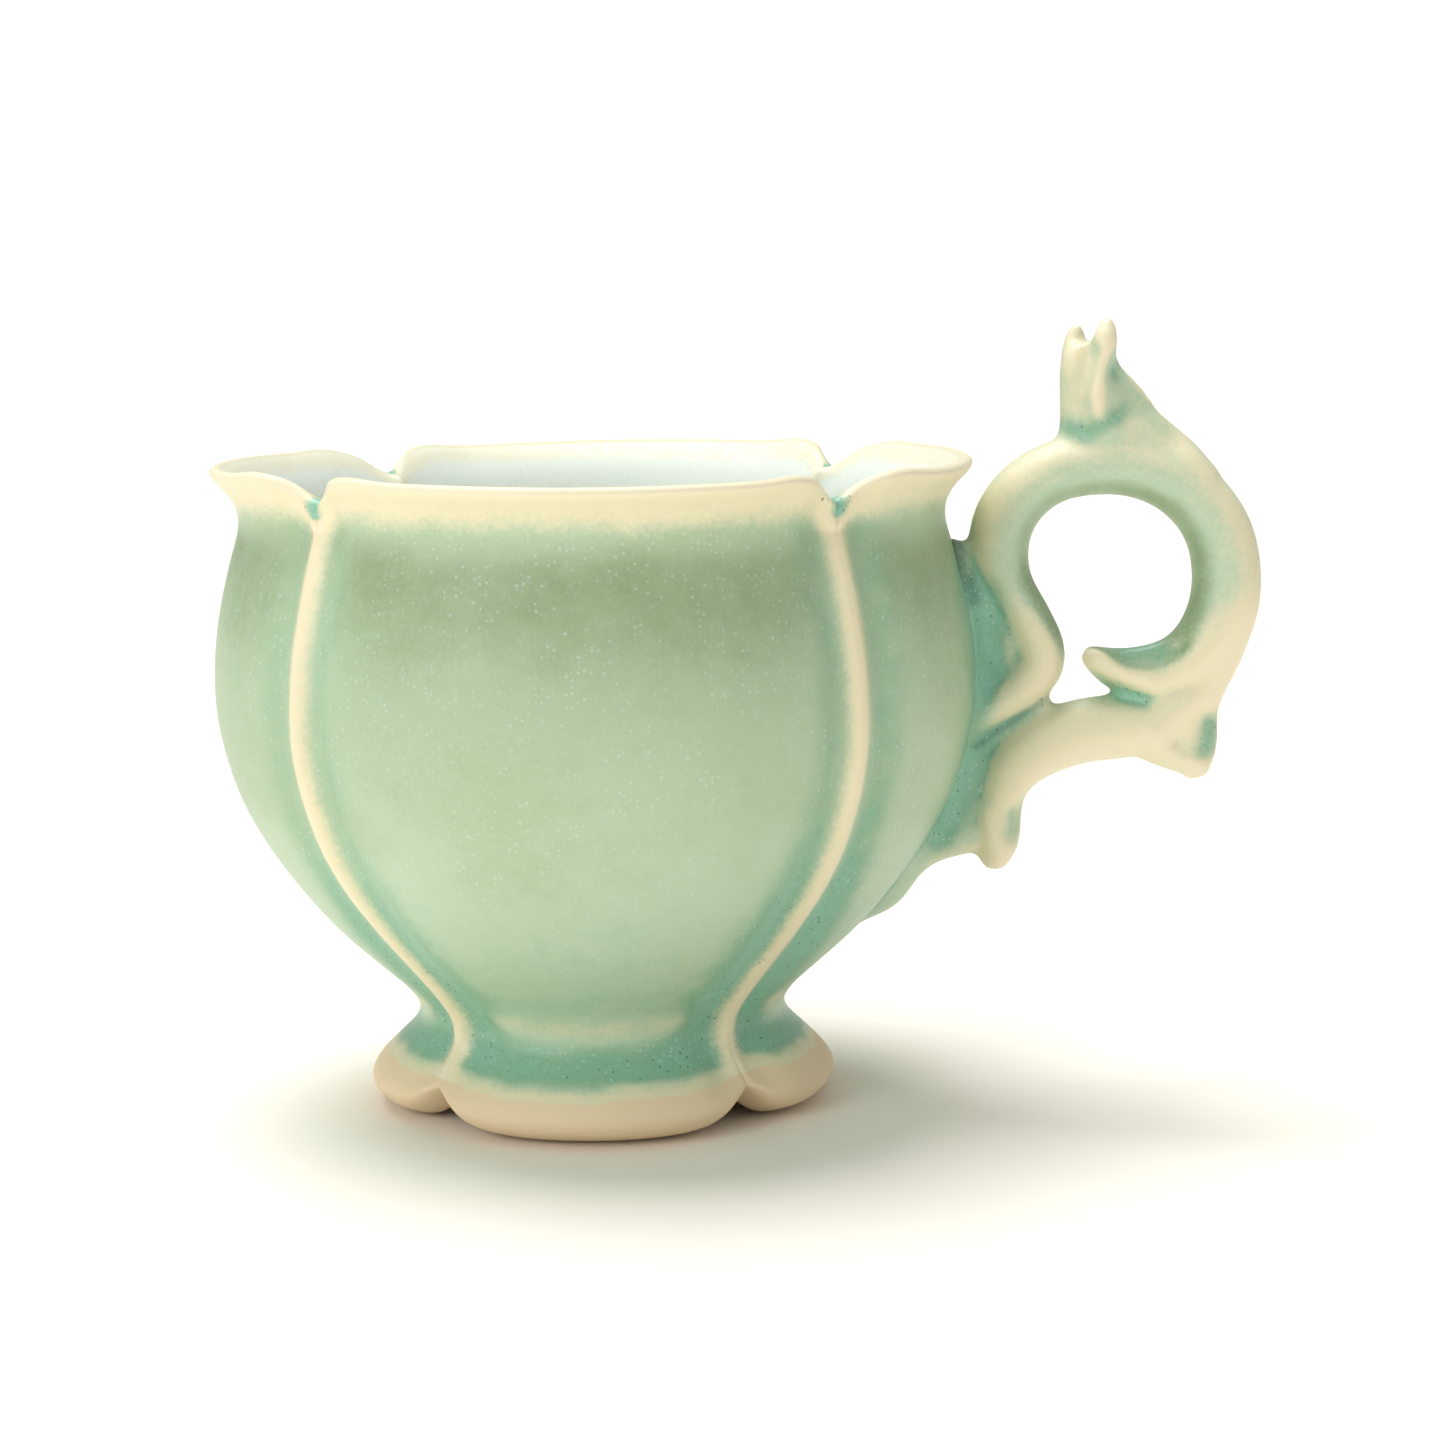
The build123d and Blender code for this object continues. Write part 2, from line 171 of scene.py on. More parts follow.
class Glaze:
    """A material that is being mixed."""

    def __init__(self, name):
        self.material = bpy.data.materials.new(name)
        self.material.use_nodes = True
        self.tree = self.material.node_tree
        self.shader = self.tree.nodes["Principled BSDF"]

    def node(self, kind, settings, inputs, output=0):
        """Any node: its settings first, then the values or links of its sockets."""
        made = self.tree.nodes.new(kind)
        for key, value in settings.items():
            setattr(made, key, value)
        self.feed(made, inputs)
        return Number(self, made.outputs[output])

    def spread(self, name):
        """How much of something there is at each point, as kept on the piece."""
        return self.node("ShaderNodeAttribute", {"attribute_name": name}, {}, "Fac")

    def place(self):
        """Where each point is on the piece."""
        return self.node("ShaderNodeTexCoord", {}, {}, "Object")

    def cloud(self, size, detail=3.0, roughness=0.55):
        """A soft random pattern with blotches of about this size, in millimetres."""
        return self.node("ShaderNodeTexNoise", {},
                         {"Vector": self.place(), "Scale": 1.0 / (size * MM), "Detail": detail,
                          "Roughness": roughness})

    def dots(self, gap, radius, share, shift=0.0):
        """Random dots: their gap and radius in millimetres, and the share of the cells that have one."""
        moved = self.node("ShaderNodeVectorMath", {"operation": "ADD"},
                          {0: self.place(), 1: (shift, shift, shift)})
        cells = {"Vector": moved, "Scale": 1.0 / (gap * MM)}
        near = self.node("ShaderNodeTexVoronoi", {}, cells, "Distance")
        chance = self.node("ShaderNodeTexVoronoi", {}, cells, "Color")
        red = self.node("ShaderNodeSeparateColor", {}, {0: chance})
        edge = radius / gap
        return (1 - near.step(edge * 0.6, edge)) * red.step(1 - share, 1 - share * 0.9)

    def blend(self, share, under, over):
        """The under colour with a share of the over colour laid on it."""
        return self.node("ShaderNodeMix", {"data_type": "RGBA"}, {0: share, 6: under, 7: over}, 2)

    def feed(self, node, inputs):
        """Sets or links the sockets of a node."""
        for key, value in inputs.items():
            if isinstance(value, Number):
                self.tree.links.new(value.socket, node.inputs[key])
            else:
                node.inputs[key].default_value = value


def tint(red, green, blue):
    """A colour given as it looks on a screen, from 0 to 255, made linear."""
    parts = []
    for value in (red, green, blue):
        value = value / 255
        parts.append(value / 12.92 if value <= 0.04045 else ((value + 0.055) / 1.055) ** 2.4)
    return (*parts, 1.0)


# Among these colours the pale sage is both a paler tone of the glaze and painted light, the pale celadon is
# painted light inside the bowl, the deep sage is olive glaze darkened with painted shade, and the darkest
# teal is painted shade in crevices as well as the colour of pinholes
SAGE = tint(170, 194, 158)
SAGE_LIGHT = tint(186, 210, 181)
SAGE_DEEP = tint(142, 165, 123)
TEAL = tint(130, 176, 142)
AQUA = tint(138, 194, 168)
TEAL_DARK = tint(62, 100, 92)
CELADON_LIT = tint(237, 243, 234)
CREAM = tint(234, 226, 190)
CREAM_PALE = tint(240, 231, 200)
PORCELAIN = tint(238, 216, 179)
PALE_BLUE = tint(206, 226, 222)
IRON = tint(112, 84, 56)


def breaking_glaze(name):
    """Satin celadon that breaks to cream where it is thin and pools blue-green where it is thick."""
    glaze = Glaze(name)
    thin = glaze.spread("thin")
    pool = glaze.spread("pool")
    shade = glaze.spread("shade")
    light = glaze.spread("light")
    crevice_shade = glaze.spread("crevice_shade")
    bare = glaze.spread("bare")
    fuzz = glaze.cloud(0.7, 4.0, 0.7) - 0.5
    mottle = glaze.cloud(3.2, 4.0, 0.6) - 0.5
    drift = glaze.cloud(16.0, 2.0) - 0.5

    # The ground: painted light makes it lighter low down, on the handle and most of all inside; olive glaze
    # and painted shade make it deeper below the lip, and painted shade inside the handle's ring
    colour = glaze.blend((light + drift * 1.1 + mottle * 0.6).step(0.0, 1.0), SAGE, SAGE_LIGHT)
    colour = glaze.blend(light.step(1.1, 1.7), colour, CELADON_LIT)
    colour = glaze.blend((shade + drift * 0.7 + mottle * 0.6).step(0.1, 1.1), colour, SAGE_DEEP)

    # Teal where it pools, and cream where it is thin
    teal_cover = pool + drift * 0.3 + mottle * 0.6 + fuzz * 0.45
    colour = glaze.blend(teal_cover.step(0.1, 1.0), colour, TEAL)
    colour = glaze.blend(teal_cover.step(0.5, 1.5), colour, AQUA)
    colour = glaze.blend((fuzz * 1.8 + 0.5).step(0.4, 1.0) * 0.16, colour, PALE_BLUE)
    # Painted shade: deep teal in the crevices and the deepest hollows
    colour = glaze.blend((crevice_shade + fuzz * 0.5).step(0.2, 1.0), colour, TEAL_DARK)
    cream_cover = (thin + fuzz * 0.6 + mottle * 0.4).step(0.1, 0.95)
    colour = glaze.blend(cream_cover, colour, CREAM)
    colour = glaze.blend((thin + fuzz * 0.2).step(0.85, 1.25) * 0.8, colour, CREAM_PALE)

    # Pale speckle, pinholes in the pools, a few iron spots, and the bare clay of the foot
    speckle = glaze.dots(0.7, 0.22, 0.4) * (1 - thin) * glaze.cloud(11.0, 2.0).step(0.3, 0.6)
    colour = glaze.blend(speckle * 0.4, colour, PALE_BLUE)
    pinhole = glaze.dots(0.8, 0.2, 0.3, 0.013) * (pool + crevice_shade).step(0.45, 1.1)
    colour = glaze.blend(pinhole * 0.7, colour, TEAL_DARK)
    iron = glaze.dots(6.0, 0.34, 0.1, 0.031)
    colour = glaze.blend(iron * 0.75, colour, IRON)
    unglazed = (bare + fuzz * 0.25).step(0.35, 0.6)
    colour = glaze.blend(unglazed, colour, PORCELAIN)

    skin = fuzz * 0.5 + glaze.cloud(0.28, 2.0) * 0.35 + mottle * 0.8 - pinhole * 0.8
    bump = glaze.node("ShaderNodeBump", {}, {"Strength": 0.22, "Distance": 0.00025, "Height": skin})
    rough = 0.42 + unglazed * 0.25 + fuzz * 0.12 - pool.step(0.3, 1.0) * 0.08
    glaze.feed(glaze.shader, {"Base Color": colour, "Roughness": rough, "Normal": bump, "IOR": 1.48})
    return glaze.material


def floor_paper():
    """Pale paper, faintly uneven in tone."""
    paper = Glaze("floor_paper")
    tone = paper.node("ShaderNodeTexNoise", {}, {"Vector": paper.place(), "Scale": 30.0, "Detail": 3.0})
    colour = paper.blend(tone * 0.5, tint(251, 246, 238), tint(249, 241, 229))
    paper.feed(paper.shader, {"Base Color": colour, "Roughness": 0.75})
    return paper.material


# ---------------------------------------------------------------- drawing helpers

def ease_between(value, low, high):
    """0 below low, 1 above high, eased between them."""
    share = np.clip((value - low) / (high - low), 0.0, 1.0)
    return share * share * (3 - 2 * share)


def bell(value, middle, spread):
    """1 at the middle, fading smoothly to almost nothing two spreads away."""
    return np.exp(-((value - middle) / spread)**2)


def smooth_run(points, steps):
    """Points along a smooth curve through the given ones, so many to a gap."""
    given = np.array(points, float)
    padded = np.vstack([given[0] * 2 - given[1], given, given[-1] * 2 - given[-2]])
    run = []
    for a, b, c, d in zip(padded, padded[1:], padded[2:], padded[3:]):
        for k in range(steps):
            t = k / steps
            run.append((b * 2 + (c - a) * t + (a * 2 - b * 5 + c * 4 - d) * t**2
                        + (b * 3 - a - c * 3 + d) * t**3) / 2)
    run.append(given[-1])
    return np.array(run)


def keep_spread(mesh, name, amounts):
    """Keeps an amount for every vertex, for the glaze to read."""
    layer = mesh.attributes.new(name, "FLOAT", "POINT")
    layer.data.foreach_set("value", np.asarray(amounts, np.float32))


def vertex_places(mesh):
    """Where each vertex is, a row of x, y and z for each."""
    places = np.zeros(len(mesh.vertices) * 3)
    mesh.vertices.foreach_get("co", places)
    return places.reshape(-1, 3)


def vertex_normals(mesh):
    """Which way the surface faces at each vertex."""
    normals = np.zeros(len(mesh.vertices) * 3)
    mesh.vertices.foreach_get("normal", normals)
    return normals.reshape(-1, 3)


def settle(mesh, places):
    """Moves the vertices to their places, and says which way the surface then faces."""
    mesh.vertices.foreach_set("co", places.ravel())
    mesh.update()
    return vertex_normals(mesh)


def add_piece(name, mesh, material, nodes):
    """A finished piece: its material, riding on the root body, with the nodes that it stands for hidden."""
    mesh.materials.append(material)
    mesh.shade_smooth()
    piece = bpy.data.objects.new(name, mesh)
    scene.collection.objects.link(piece)
    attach(piece, "root")
    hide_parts(*nodes)


# ---------------------------------------------------------------- the cup's body

# The profile, as (radius, height) in the middle of a lobe: up the inside, down the outside, then under
# the foot to the middle
INSIDE = [
    (0.0, 12.4), (6.0, 12.5), (12.0, 12.9), (17.0, 14.2), (21.0, 16.6), (25.0, 19.8), (29.0, 23.6),
    (33.0, 27.9), (36.8, 32.6), (39.8, 37.2), (42.2, 42.4), (43.8, 48.0), (44.6, 54.0), (44.2, 60.0),
    (43.0, 66.0), (41.6, 71.0), (41.2, 74.4), (41.9, 76.8), (43.2, 78.7), (44.6, 80.0), (45.7, 80.6),
]
OUTSIDE = [
    (46.6, 80.8), (47.2, 80.45), (47.25, 79.9), (46.7, 79.1), (45.7, 78.1), (44.8, 76.9), (44.15, 75.6),
    (43.95, 74.2), (44.1, 72.6), (44.8, 70.2), (45.7, 67.0), (46.6, 63.2), (47.25, 59.4), (47.6, 54.8),
    (47.4, 50.0), (46.5, 45.4), (45.0, 40.6), (42.9, 36.2), (40.2, 31.8), (37.2, 27.7), (33.8, 23.6),
    (30.2, 20.1), (27.0, 17.2), (24.9, 15.2), (23.5, 13.2), (23.2, 11.8), (23.7, 10.3), (25.0, 8.8),
    (26.8, 7.1), (28.4, 5.4), (29.3, 4.0), (29.3, 2.8), (28.3, 1.6), (26.5, 0.7),
]
UNDERSIDE = [
    (24.9, 0.2), (23.4, 0.0), (22.0, 0.4), (21.0, 1.6), (20.6, 3.6), (19.8, 6.2), (17.6, 7.6), (13.0, 8.1),
    (6.0, 8.3), (0.0, 8.3),
]
# How far the seams are pressed in, as (height, depth)
SEAM_DEPTHS = [
    (0.0, 3.2), (3.5, 2.9), (4.9, 3.1), (6.6, 2.8), (8.9, 1.9), (12.0, 0.6), (15.4, 0.8), (18.5, 1.6),
    (22.5, 2.2), (26.5, 1.9), (30.6, 1.5), (35.5, 1.4), (40.6, 1.6), (45.5, 1.6), (50.3, 1.8), (55.0, 2.1),
    (59.5, 2.2), (64.0, 2.3), (68.7, 2.2), (73.3, 2.2), (76.5, 2.9), (78.0, 4.2), (79.0, 5.2), (80.8, 6.2),
]
PROFILE_STEPS = 2
TURNS = 400
HALF_LOBE = pi / 4


def seam_depth(height):
    """How far the seams are pressed in at a height."""
    heights, depths = zip(*SEAM_DEPTHS)
    return np.interp(height, heights, depths)


def outer_radius(height):
    """The radius of a lobe's outer face at a height, below the lip."""
    rows = sorted((z, r) for r, z in OUTSIDE[2:])
    return np.interp(height, [z for z, r in rows], [r for z, r in rows])


def inner_radius(height):
    """The radius of a lobe's inner face at a height."""
    rows = sorted((z, r) for r, z in INSIDE)
    return np.interp(height, [z for z, r in rows], [r for z, r in rows])


def spin_profile():
    """The smoothed profile, and the round body that it makes when it is spun."""
    profile = smooth_run(INSIDE + OUTSIDE + UNDERSIDE, PROFILE_STEPS)
    bm = bmesh.new()
    chain = [bm.verts.new((radius, 0.0, height)) for radius, height in profile]
    edges = [bm.edges.new(pair) for pair in zip(chain, chain[1:])]
    bmesh.ops.spin(bm, geom=chain + edges, cent=(0, 0, 0), axis=(0, 0, 1), angle=2 * pi, steps=TURNS,
                   use_merge=True)
    bmesh.ops.remove_doubles(bm, verts=bm.verts, dist=1e-4)
    bmesh.ops.recalc_face_normals(bm, faces=bm.faces)
    mesh = bpy.data.meshes.new("cup_body")
    bm.to_mesh(mesh)
    bm.free()
    return profile, mesh


def throw_body():
    """The bowl and foot: a profile spun on the wheel, then pressed into four lobes with beaded seams."""
    profile, mesh = spin_profile()
    places = vertex_places(mesh)
    radius = np.hypot(places[:, 0], places[:, 1])
    height = places[:, 2]
    turn = np.arctan2(places[:, 1], places[:, 0])
    gaps = (radius[:, None] - profile[None, :, 0])**2 + (height[:, None] - profile[None, :, 1])**2
    along = gaps.argmin(axis=1)
    lip_start = PROFILE_STEPS * (len(INSIDE) - 1)
    outside = ease_between(along, lip_start - 2, lip_start + 3)
    under = along > PROFILE_STEPS * (len(INSIDE) + len(OUTSIDE) - 2)

    # Each lobe's steps are drawn together towards its two seams
    lobe = np.round(turn / (2 * HALF_LOBE))
    offset = turn / HALF_LOBE - 2 * lobe
    offset = offset + 0.6 * np.sin(pi * offset) / pi
    turn = (offset + 2 * lobe) * HALF_LOBE
    closeness = np.abs(offset)
    to_seam = np.maximum(radius, 10.0) * HALF_LOBE * (1 - closeness)

    # The lobes are pressed in at the seams, with a bead along each
    hold = np.where(under, ease_between(radius, 20.6, 27.0), ease_between(radius, 6.0, 24.0))
    reach = seam_depth(height) * hold
    sharpness = 5 + 3 * ease_between(height, 74, 80)
    bead = 1.25 * bell(to_seam, 0, 1.5) - 0.6 * bell(to_seam, 3.8, 1.9)
    bead = bead * outside * ease_between(height, 2.0, 8.0)
    wobble = 0.10 * np.sin(3 * turn + height / 17) + 0.08 * np.sin(7 * turn - height / 9)
    new_radius = radius - reach * closeness**sharpness + bead + wobble * hold * ~under

    # The lip dips into a notch at each seam, and the foot's edge rises to one
    lift = ease_between(height, 72.0, 80.0) * (0.35 * bell(to_seam, 9.5, 3.6) - 2.9 * bell(to_seam, 0, 3.7))
    foot = (1 - ease_between(height, 0.0, 8.0)) * ease_between(radius, 18.0, 21.0)
    lift = lift + foot * (2.4 * bell(to_seam, 0, 3.6) + 0.9 * closeness**3)
    wave = ease_between(height, 66.0, 80.8) * (0.22 * np.sin(2 * turn + 0.7) + 0.14 * np.sin(5 * turn))
    new_height = height + lift + wave
    places = np.column_stack([new_radius * np.cos(turn) * fit_out, new_radius * np.sin(turn) * fit_out,
                              new_height * fit_up]) * MM
    settle(mesh, places)
    glaze_body(mesh, radius, height, turn, closeness, to_seam, outside, under)
    return mesh


def glaze_body(mesh, radius, height, turn, closeness, to_seam, outside, under):
    """Where the body's glaze is thin or pooled, where shade and light are painted on it, and where the clay
    is bare.
    """
    out = outside * ~under
    inner = 1 - outside
    ragged = 0.5 * np.sin(9 * turn + 1.1) + 0.4 * np.sin(17 * turn) + 0.3 * np.sin(31 * turn + 2)
    notch = ease_between(height, 77.0, 79.0) * bell(to_seam, 0, 1.9)
    arc = bell(height - 1.5 * closeness**2, 13.6, 1.5) * ease_between(to_seam, 4.0, 9.0) * out
    edge_line = 6.4 + 0.6 * np.sin(2 * turn + 2) + 0.3 * ragged
    glaze_line = (1 - ease_between(height, edge_line + 0.2, edge_line + 2.0)) * out

    # Thin on the lip, the seams, the waist's arc and the glaze's lower edge
    lip_band = ease_between(height + 0.35 * ragged, 73.2, 78.6) * out
    lip_edge = ease_between(height, 79.4, 80.2)
    ridge = bell(to_seam, 0, 2.05) * out * ease_between(height, 3.0, 6.0)
    thin = np.clip(0.9 * lip_band + 1.05 * ridge + 0.35 * lip_edge, 0, 1.3) * (1 - 0.95 * notch)
    thin = np.clip(thin + 0.5 * arc + 0.85 * glaze_line, 0, 1.3)

    # Pooled beside the seams, above the foot, in the lip's notches and beside the handle
    valley = bell(to_seam, 4.6, 4.0) * out * ease_between(height, 8, 16)
    # More pooled on the front-right seam and less on the back-left one: painted shade on the side away from
    # the light
    valley = valley * (1 + 0.35 * np.cos(turn + HALF_LOBE))
    foot_band = bell(height, 9.0, 2.4) * out
    low_bowl = (1 - ease_between(height, 16, 40)) * out * 0.4
    handle_side = bell(turn * radius, 0, 13.0) * out * ease_between(height, 22, 34) * (
        1 - ease_between(height, 66, 73))
    pool = valley * (0.38 + 0.34 * (1 - ease_between(height, 20, 56))) + 0.6 * foot_band + low_bowl
    pool = np.clip(pool + 1.3 * notch + 1.0 * handle_side - 0.7 * arc - 0.9 * glaze_line, 0, 1.3)

    # Painted shade below the lip, where the glaze is also olive, and a little in the middle; painted light
    # low down and inside; painted shade in the crease behind the handle's web
    spread = np.where(height > 70, 4.0, 10.0)
    waist = bell(height - 0.6 * ragged, 70.0, spread) * out * ease_between(to_seam, 1.5, 8.0)
    middle = bell(height, 57.0, 13.0) * out * ease_between(to_seam, 4, 14)
    low = (1 - ease_between(height, 26, 46)) * out
    crevice_shade = bell(turn * radius, 0, 3.4) * bell(height, 60.0, 9.0) * out
    bare = (1 - ease_between(height, edge_line - 0.9, edge_line + 0.5)) * out
    keep_spread(mesh, "thin", np.where(inner > 0.5, 0.6 * ease_between(height, 77, 79.5), thin))
    keep_spread(mesh, "pool", np.where(inner > 0.5, 0.05, pool))
    keep_spread(mesh, "shade", 0.66 * waist + 0.26 * middle)
    keep_spread(mesh, "light", np.clip(0.35 + 0.5 * low + 1.5 * inner, 0, 1.8))
    keep_spread(mesh, "crevice_shade", crevice_shade * 0.6)
    keep_spread(mesh, "bare", np.where(under, 1.0, bare))


# ---------------------------------------------------------------- the handle

# Strands of clay, as (x, z, thickness, width) at each station, and y last where it is not 0
COIL = [
    (42.6, 44.6, 4.4, 6.6), (45.6, 47.0, 5.2, 7.6), (49.0, 49.6, 5.6, 8.0), (52.6, 51.7, 5.8, 8.0),
    (55.2, 54.0, 6.0, 8.0), (55.6, 56.8, 5.9, 8.0), (53.9, 60.6, 5.9, 8.0), (51.4, 64.6, 6.6, 8.4),
    (50.3, 68.6, 7.5, 8.8), (50.9, 72.6, 7.8, 9.0), (53.3, 76.2, 7.8, 9.0), (57.2, 78.7, 7.7, 9.0),
    (62.0, 79.6, 7.7, 9.0), (66.8, 79.4, 7.8, 9.0), (71.2, 77.9, 8.0, 9.0), (75.0, 75.0, 8.2, 9.0),
    (77.6, 71.0, 8.5, 9.0), (78.6, 66.2, 8.7, 9.0), (78.2, 61.4, 8.8, 9.0), (76.2, 57.2, 8.6, 9.0),
    (72.6, 54.5, 7.6, 8.8), (68.6, 53.6, 6.8, 8.2), (65.2, 54.0, 5.6, 7.0), (62.8, 55.0, 4.0, 5.2),
    (60.9, 56.2, 2.0, 2.8),
]
ARM = [
    (76.0, 52.0, 6.0, 7.6), (73.0, 49.6, 7.4, 8.6), (69.6, 47.9, 8.2, 9.0), (65.4, 46.8, 8.3, 9.0),
    (60.8, 46.2, 8.2, 8.8), (56.4, 44.8, 8.1, 8.6), (52.8, 42.4, 7.4, 8.2), (50.7, 39.2, 6.4, 7.8),
    (50.1, 35.8, 6.2, 7.2), (50.0, 32.6, 6.0, 6.4), (49.8, 30.4, 4.6, 5.0), (49.7, 28.6, 2.4, 2.8),
]
HEEL = [
    (79.0, 60.0, 6.6, 7.0), (77.2, 56.0, 7.0, 7.6), (75.4, 52.4, 7.0, 7.6), (74.5, 48.8, 6.4, 7.4),
    (74.6, 45.4, 6.4, 6.8), (74.8, 42.6, 5.2, 5.6), (75.1, 40.1, 2.6, 3.0),
]
HEEL_FOLD = [
    (66.0, 46.4, 5.0, 6.4), (69.4, 44.8, 5.2, 6.4), (72.4, 43.0, 4.2, 5.2), (74.8, 41.3, 2.0, 2.4),
]
WEB = [
    (45.4, 69.8, 2.6, 4.6), (46.2, 66.2, 4.6, 5.2), (47.8, 62.0, 6.4, 5.4), (49.4, 58.4, 8.2, 5.4),
    (49.6, 55.0, 8.6, 5.4), (47.8, 51.4, 6.8, 5.4), (46.4, 47.6, 5.4, 5.4),
]
LOW_WEB = [
    (46.4, 47.4, 4.6, 5.6), (46.6, 43.6, 5.6, 5.6), (46.2, 39.6, 6.0, 5.8), (45.2, 36.0, 6.4, 6.0),
    (44.6, 33.4, 5.6, 6.0),
]
TAIL = [
    (47.4, 33.6, 5.4, 6.0), (44.6, 33.2, 5.8, 6.4), (41.6, 32.3, 5.8, 6.8), (38.9, 29.9, 4.8, 7.0),
    (37.0, 27.0, 4.4, 6.6), (35.8, 25.5, 4.0, 6.0), (34.4, 24.5, 3.4, 5.2), (32.8, 23.5, 2.6, 4.0),
    (30.6, 21.9, 1.6, 2.4),
]
THUMB = [
    (64.2, 78.4, 13.0, 7.6), (64.2, 81.4, 13.6, 7.8), (63.8, 84.4, 13.0, 7.4), (62.9, 87.2, 11.0, 7.0),
    (61.8, 90.2, 8.4, 6.6), (61.4, 92.8, 6.8, 6.0), (61.5, 94.6, 4.8, 4.6),
]
FLANK = [
    (62.6, 89.4, 4.6, 5.0), (66.2, 85.4, 6.0, 6.4), (69.4, 82.6, 6.2, 7.2), (72.4, 79.8, 6.4, 8.0),
    (75.2, 76.4, 6.6, 8.4),
]
NEAR_HORN = [
    (62.2, 90.0, 4.8, 4.4, -1.2), (62.8, 93.0, 4.0, 3.8, -1.5), (63.4, 95.6, 3.0, 3.0, -1.5),
    (63.7, 97.9, 1.6, 1.8, -1.4),
]
FAR_HORN = [
    (60.2, 90.0, 4.4, 4.0, 1.2), (59.8, 92.8, 3.6, 3.6, 1.5), (59.9, 95.2, 2.8, 2.8, 1.6),
    (60.2, 97.0, 1.5, 1.8, 1.6),
]
CREASE = [
    (47.4, 44.8, 3.0, 4.6), (50.0, 46.6, 3.0, 4.6), (52.8, 48.3, 3.0, 4.6), (55.4, 50.0, 2.6, 4.4),
    (56.4, 50.7, 1.6, 3.0),
]

# Thumb and tool marks, as (points in x and z, radius, depth, sides): a minus depth raises a ridge.
# Sides are -1 for the near face, 1 for the far face and 0 for both.
MARKS = [
    ([(61.0, 93.8), (60.4, 91.0), (59.8, 88.0), (60.2, 86.0)], 1.5, 0.9, -1),
    ([(61.7, 95.0), (61.6, 92.0)], 1.2, 1.0, 1),
    ([(63.4, 95.0), (62.6, 91.0), (61.8, 88.0), (62.6, 85.4), (64.0, 84.4)], 1.5, -0.75, -1),
    ([(65.4, 91.0), (66.8, 88.0), (69.2, 85.2), (71.6, 82.8)], 2.6, 0.9, 0),
    ([(58.0, 85.0), (60.4, 83.6), (63.0, 84.0), (65.4, 86.0)], 1.9, 0.5, 0),
    ([(61.7, 93.6), (60.9, 90.0), (60.7, 87.0)], 0.8, 0.5, -1),
    ([(76.2, 47.4), (75.8, 44.4)], 2.1, 0.8, 0),
    ([(68.6, 46.2), (71.4, 43.8), (73.8, 42.2)], 1.7, -0.7, 0),
    ([(52.2, 36.0), (52.0, 33.6)], 1.7, 0.7, 0),
    ([(48.4, 36.4), (49.4, 33.6), (50.3, 31.4)], 1.6, -0.6, 0),
    ([(66.6, 56.4), (69.6, 56.2), (72.0, 57.4)], 1.8, 1.0, 0),
    ([(62.4, 55.2), (65.4, 53.6), (69.0, 52.0)], 1.6, -0.6, 0),
    ([(61.0, 52.6), (64.4, 51.6), (68.0, 50.0)], 2.0, 0.5, 0),
    ([(48.6, 55.8), (48.2, 60.0)], 2.6, 1.0, 0),
]


# Where the glaze pools, and where shade is painted into crevices, as (points in x and z, radius, amount)
POOLS = [
    ([(65.4, 91.0), (67.0, 88.0), (70.4, 84.4)], 2.6, 0.5),
    ([(58.6, 84.4), (61.0, 83.6), (64.4, 85.4)], 1.5, 0.75),
    ([(76.6, 47.0), (76.2, 44.2)], 2.2, 0.9),
    ([(52.3, 35.8), (52.1, 33.8)], 1.5, 0.6),
    ([(60.6, 52.8), (64.6, 51.8), (68.0, 50.6)], 1.6, 0.75),
    ([(65.8, 56.8), (70.0, 56.8)], 1.8, 0.8),
    ([(48.2, 63.0), (49.0, 57.0), (47.4, 52.0)], 2.8, 0.9),
    ([(46.0, 43.0), (45.2, 37.0), (43.0, 33.4)], 2.2, 0.8),
    ([(47.6, 44.6), (51.6, 47.6), (55.4, 50.0)], 0.9, 0.6),
]
CREVICE_SHADE_LINES = [
    ([(44.8, 70.6), (45.6, 67.0), (47.0, 63.4)], 2.0, 0.6),
    ([(47.4, 44.8), (51.8, 47.7), (56.2, 50.8)], 0.9, 0.6),
    ([(59.4, 84.0), (61.4, 83.6)], 1.0, 0.3),
    ([(60.4, 52.4), (64.2, 52.2)], 1.0, 0.5),
    ([(46.0, 41.6), (45.6, 36.4)], 1.2, 0.35),
]
RING_X, RING_Z = 64.2, 66.4
SECTION_SIDES = 24
STATION_STEPS = 4
SKIN_FACE = 0.4


def place_section(bm, row, heading):
    """One oval ring of vertices, square to the heading."""
    x, z, thickness, width, y = row
    ahead = np.array([heading[0], heading[2], heading[1]])
    ahead = ahead / np.linalg.norm(ahead)
    across = np.cross([0.0, 1.0, 0.0], ahead)
    across = across / np.linalg.norm(across)
    flat = np.cross(ahead, across)
    pose = np.eye(4)
    pose[:3, 0] = across * thickness / 2
    pose[:3, 1] = flat * width / 2
    pose[:3, 2] = ahead
    pose[:3, 3] = (x + handle_shift, y, z)
    ring = bmesh.ops.create_circle(bm, cap_ends=False, segments=SECTION_SIDES, radius=1.0,
                                   matrix=Matrix(pose.tolist()))
    # In a fixed order, because a set of edges comes out in another order in each run
    return list(dict.fromkeys(edge for vert in ring["verts"] for edge in vert.link_edges))


def roll_strand(bm, stations):
    """A closed strand of clay through its stations."""
    run = smooth_run([(*station, 0)[:5] for station in stations], STATION_STEPS)
    track = run[:, [0, 1, 4]]
    headings = np.gradient(track, axis=0)
    last = None
    for row, heading in zip(run, headings):
        ring = place_section(bm, row, heading)
        if last:
            bmesh.ops.bridge_loops(bm, edges=last + ring)
        else:
            bmesh.ops.edgeloop_fill(bm, edges=ring)
        last = ring
    bmesh.ops.edgeloop_fill(bm, edges=last)


